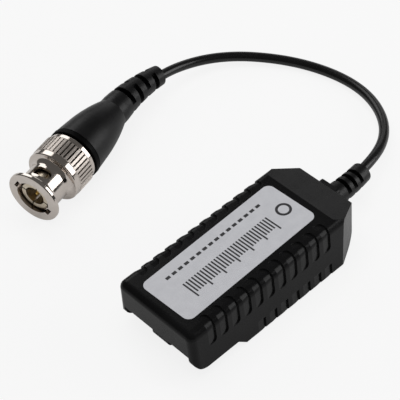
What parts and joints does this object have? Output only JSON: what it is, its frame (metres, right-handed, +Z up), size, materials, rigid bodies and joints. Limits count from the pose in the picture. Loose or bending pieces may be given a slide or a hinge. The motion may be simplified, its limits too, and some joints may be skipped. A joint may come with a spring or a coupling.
{
  "type": "video balun",
  "caption": "Passive video balun: a small black moulded case with notched grips, a mouth for the wire pair, and a short coaxial pigtail that ends in a bayonet plug",
  "frame": {"origin": "on the floor, below the middle of the case", "axes": "+X along the case towards the cable, +Y towards the plug, +Z up, out of the label face"},
  "size_m": [0.1005, 0.0842, 0.0161],
  "materials": {
    "case_plastic": "fine moulded grain, satin",
    "label_film": "pale grey printed film, satin",
    "steel": "zinc plated",
    "terminal_green": "moulded, satin",
    "brass_tinned": "tinned",
    "laminate": "solder mask, satin",
    "ferrite": "coated ferrite, matt",
    "copper": "enamelled copper, gloss",
    "arrester_ceramic": "glazed white",
    "fuse_yellow": "dipped, gloss",
    "capacitor_blue": "dipped, gloss",
    "resistor_beige": "lacquered",
    "cable_jacket": "soft vinyl, satin",
    "boot_vinyl": "soft vinyl, matt",
    "nickel": "bright nickel plate",
    "dielectric": "white, waxy",
    "gold": "gold plate, bright",
    "gasket_rubber": "soft, matt",
    "copper_tail": "bare copper, tinned"
  },
  "bodies": {
    "balun": {"top_shell": "case_plastic", "base_cover": "case_plastic", "cover_screws": "steel", "label": "label_film", "terminal_block": "terminal_green", "wire_clamp_left": "brass_tinned", "wire_clamp_right": "brass_tinned", "terminal_screw_left": "steel", "terminal_screw_right": "steel", "circuit_board": "laminate", "ring_core": "ferrite", "primary_winding": "copper", "secondary_winding": "copper", "surge_arrester": "arrester_ceramic", "line_fuse_left": "fuse_yellow", "line_fuse_right": "fuse_yellow", "coupling_capacitor": "capacitor_blue", "line_resistor": "resistor_beige", "coax_cable": "cable_jacket", "coax_core_tail": "copper_tail", "coax_braid_tail": "copper_tail", "cable_gland": "boot_vinyl", "plug_boot": "boot_vinyl", "crimp_ferrule": "nickel", "plug_barrel": "nickel", "insulator": "dielectric", "centre_pin": "gold", "gasket": "gasket_rubber", "spring_washer": "steel"},
    "spring_slider": {"thrust_washer": "steel"},
    "lock_ring": {"coupling_nut": "nickel", "retaining_ring": "steel"}
  },
  "joints": [
    {"name": "nut_slide", "type": "slide", "parent": "balun", "child": "spring_slider", "axis": [-0.97, -0.2429, 0], "range_m": [0, 0.0006], "stiffness_N_per_m": 8000, "springref_m": -0.0003, "deforming": ["spring_washer"]},
    {"name": "nut_turn", "type": "hinge", "parent": "spring_slider", "child": "lock_ring", "pos_m": [-0.02193, 0.05586, 0.0079], "axis": [0.97, 0.2429, 0], "continuous": true}
  ]
}
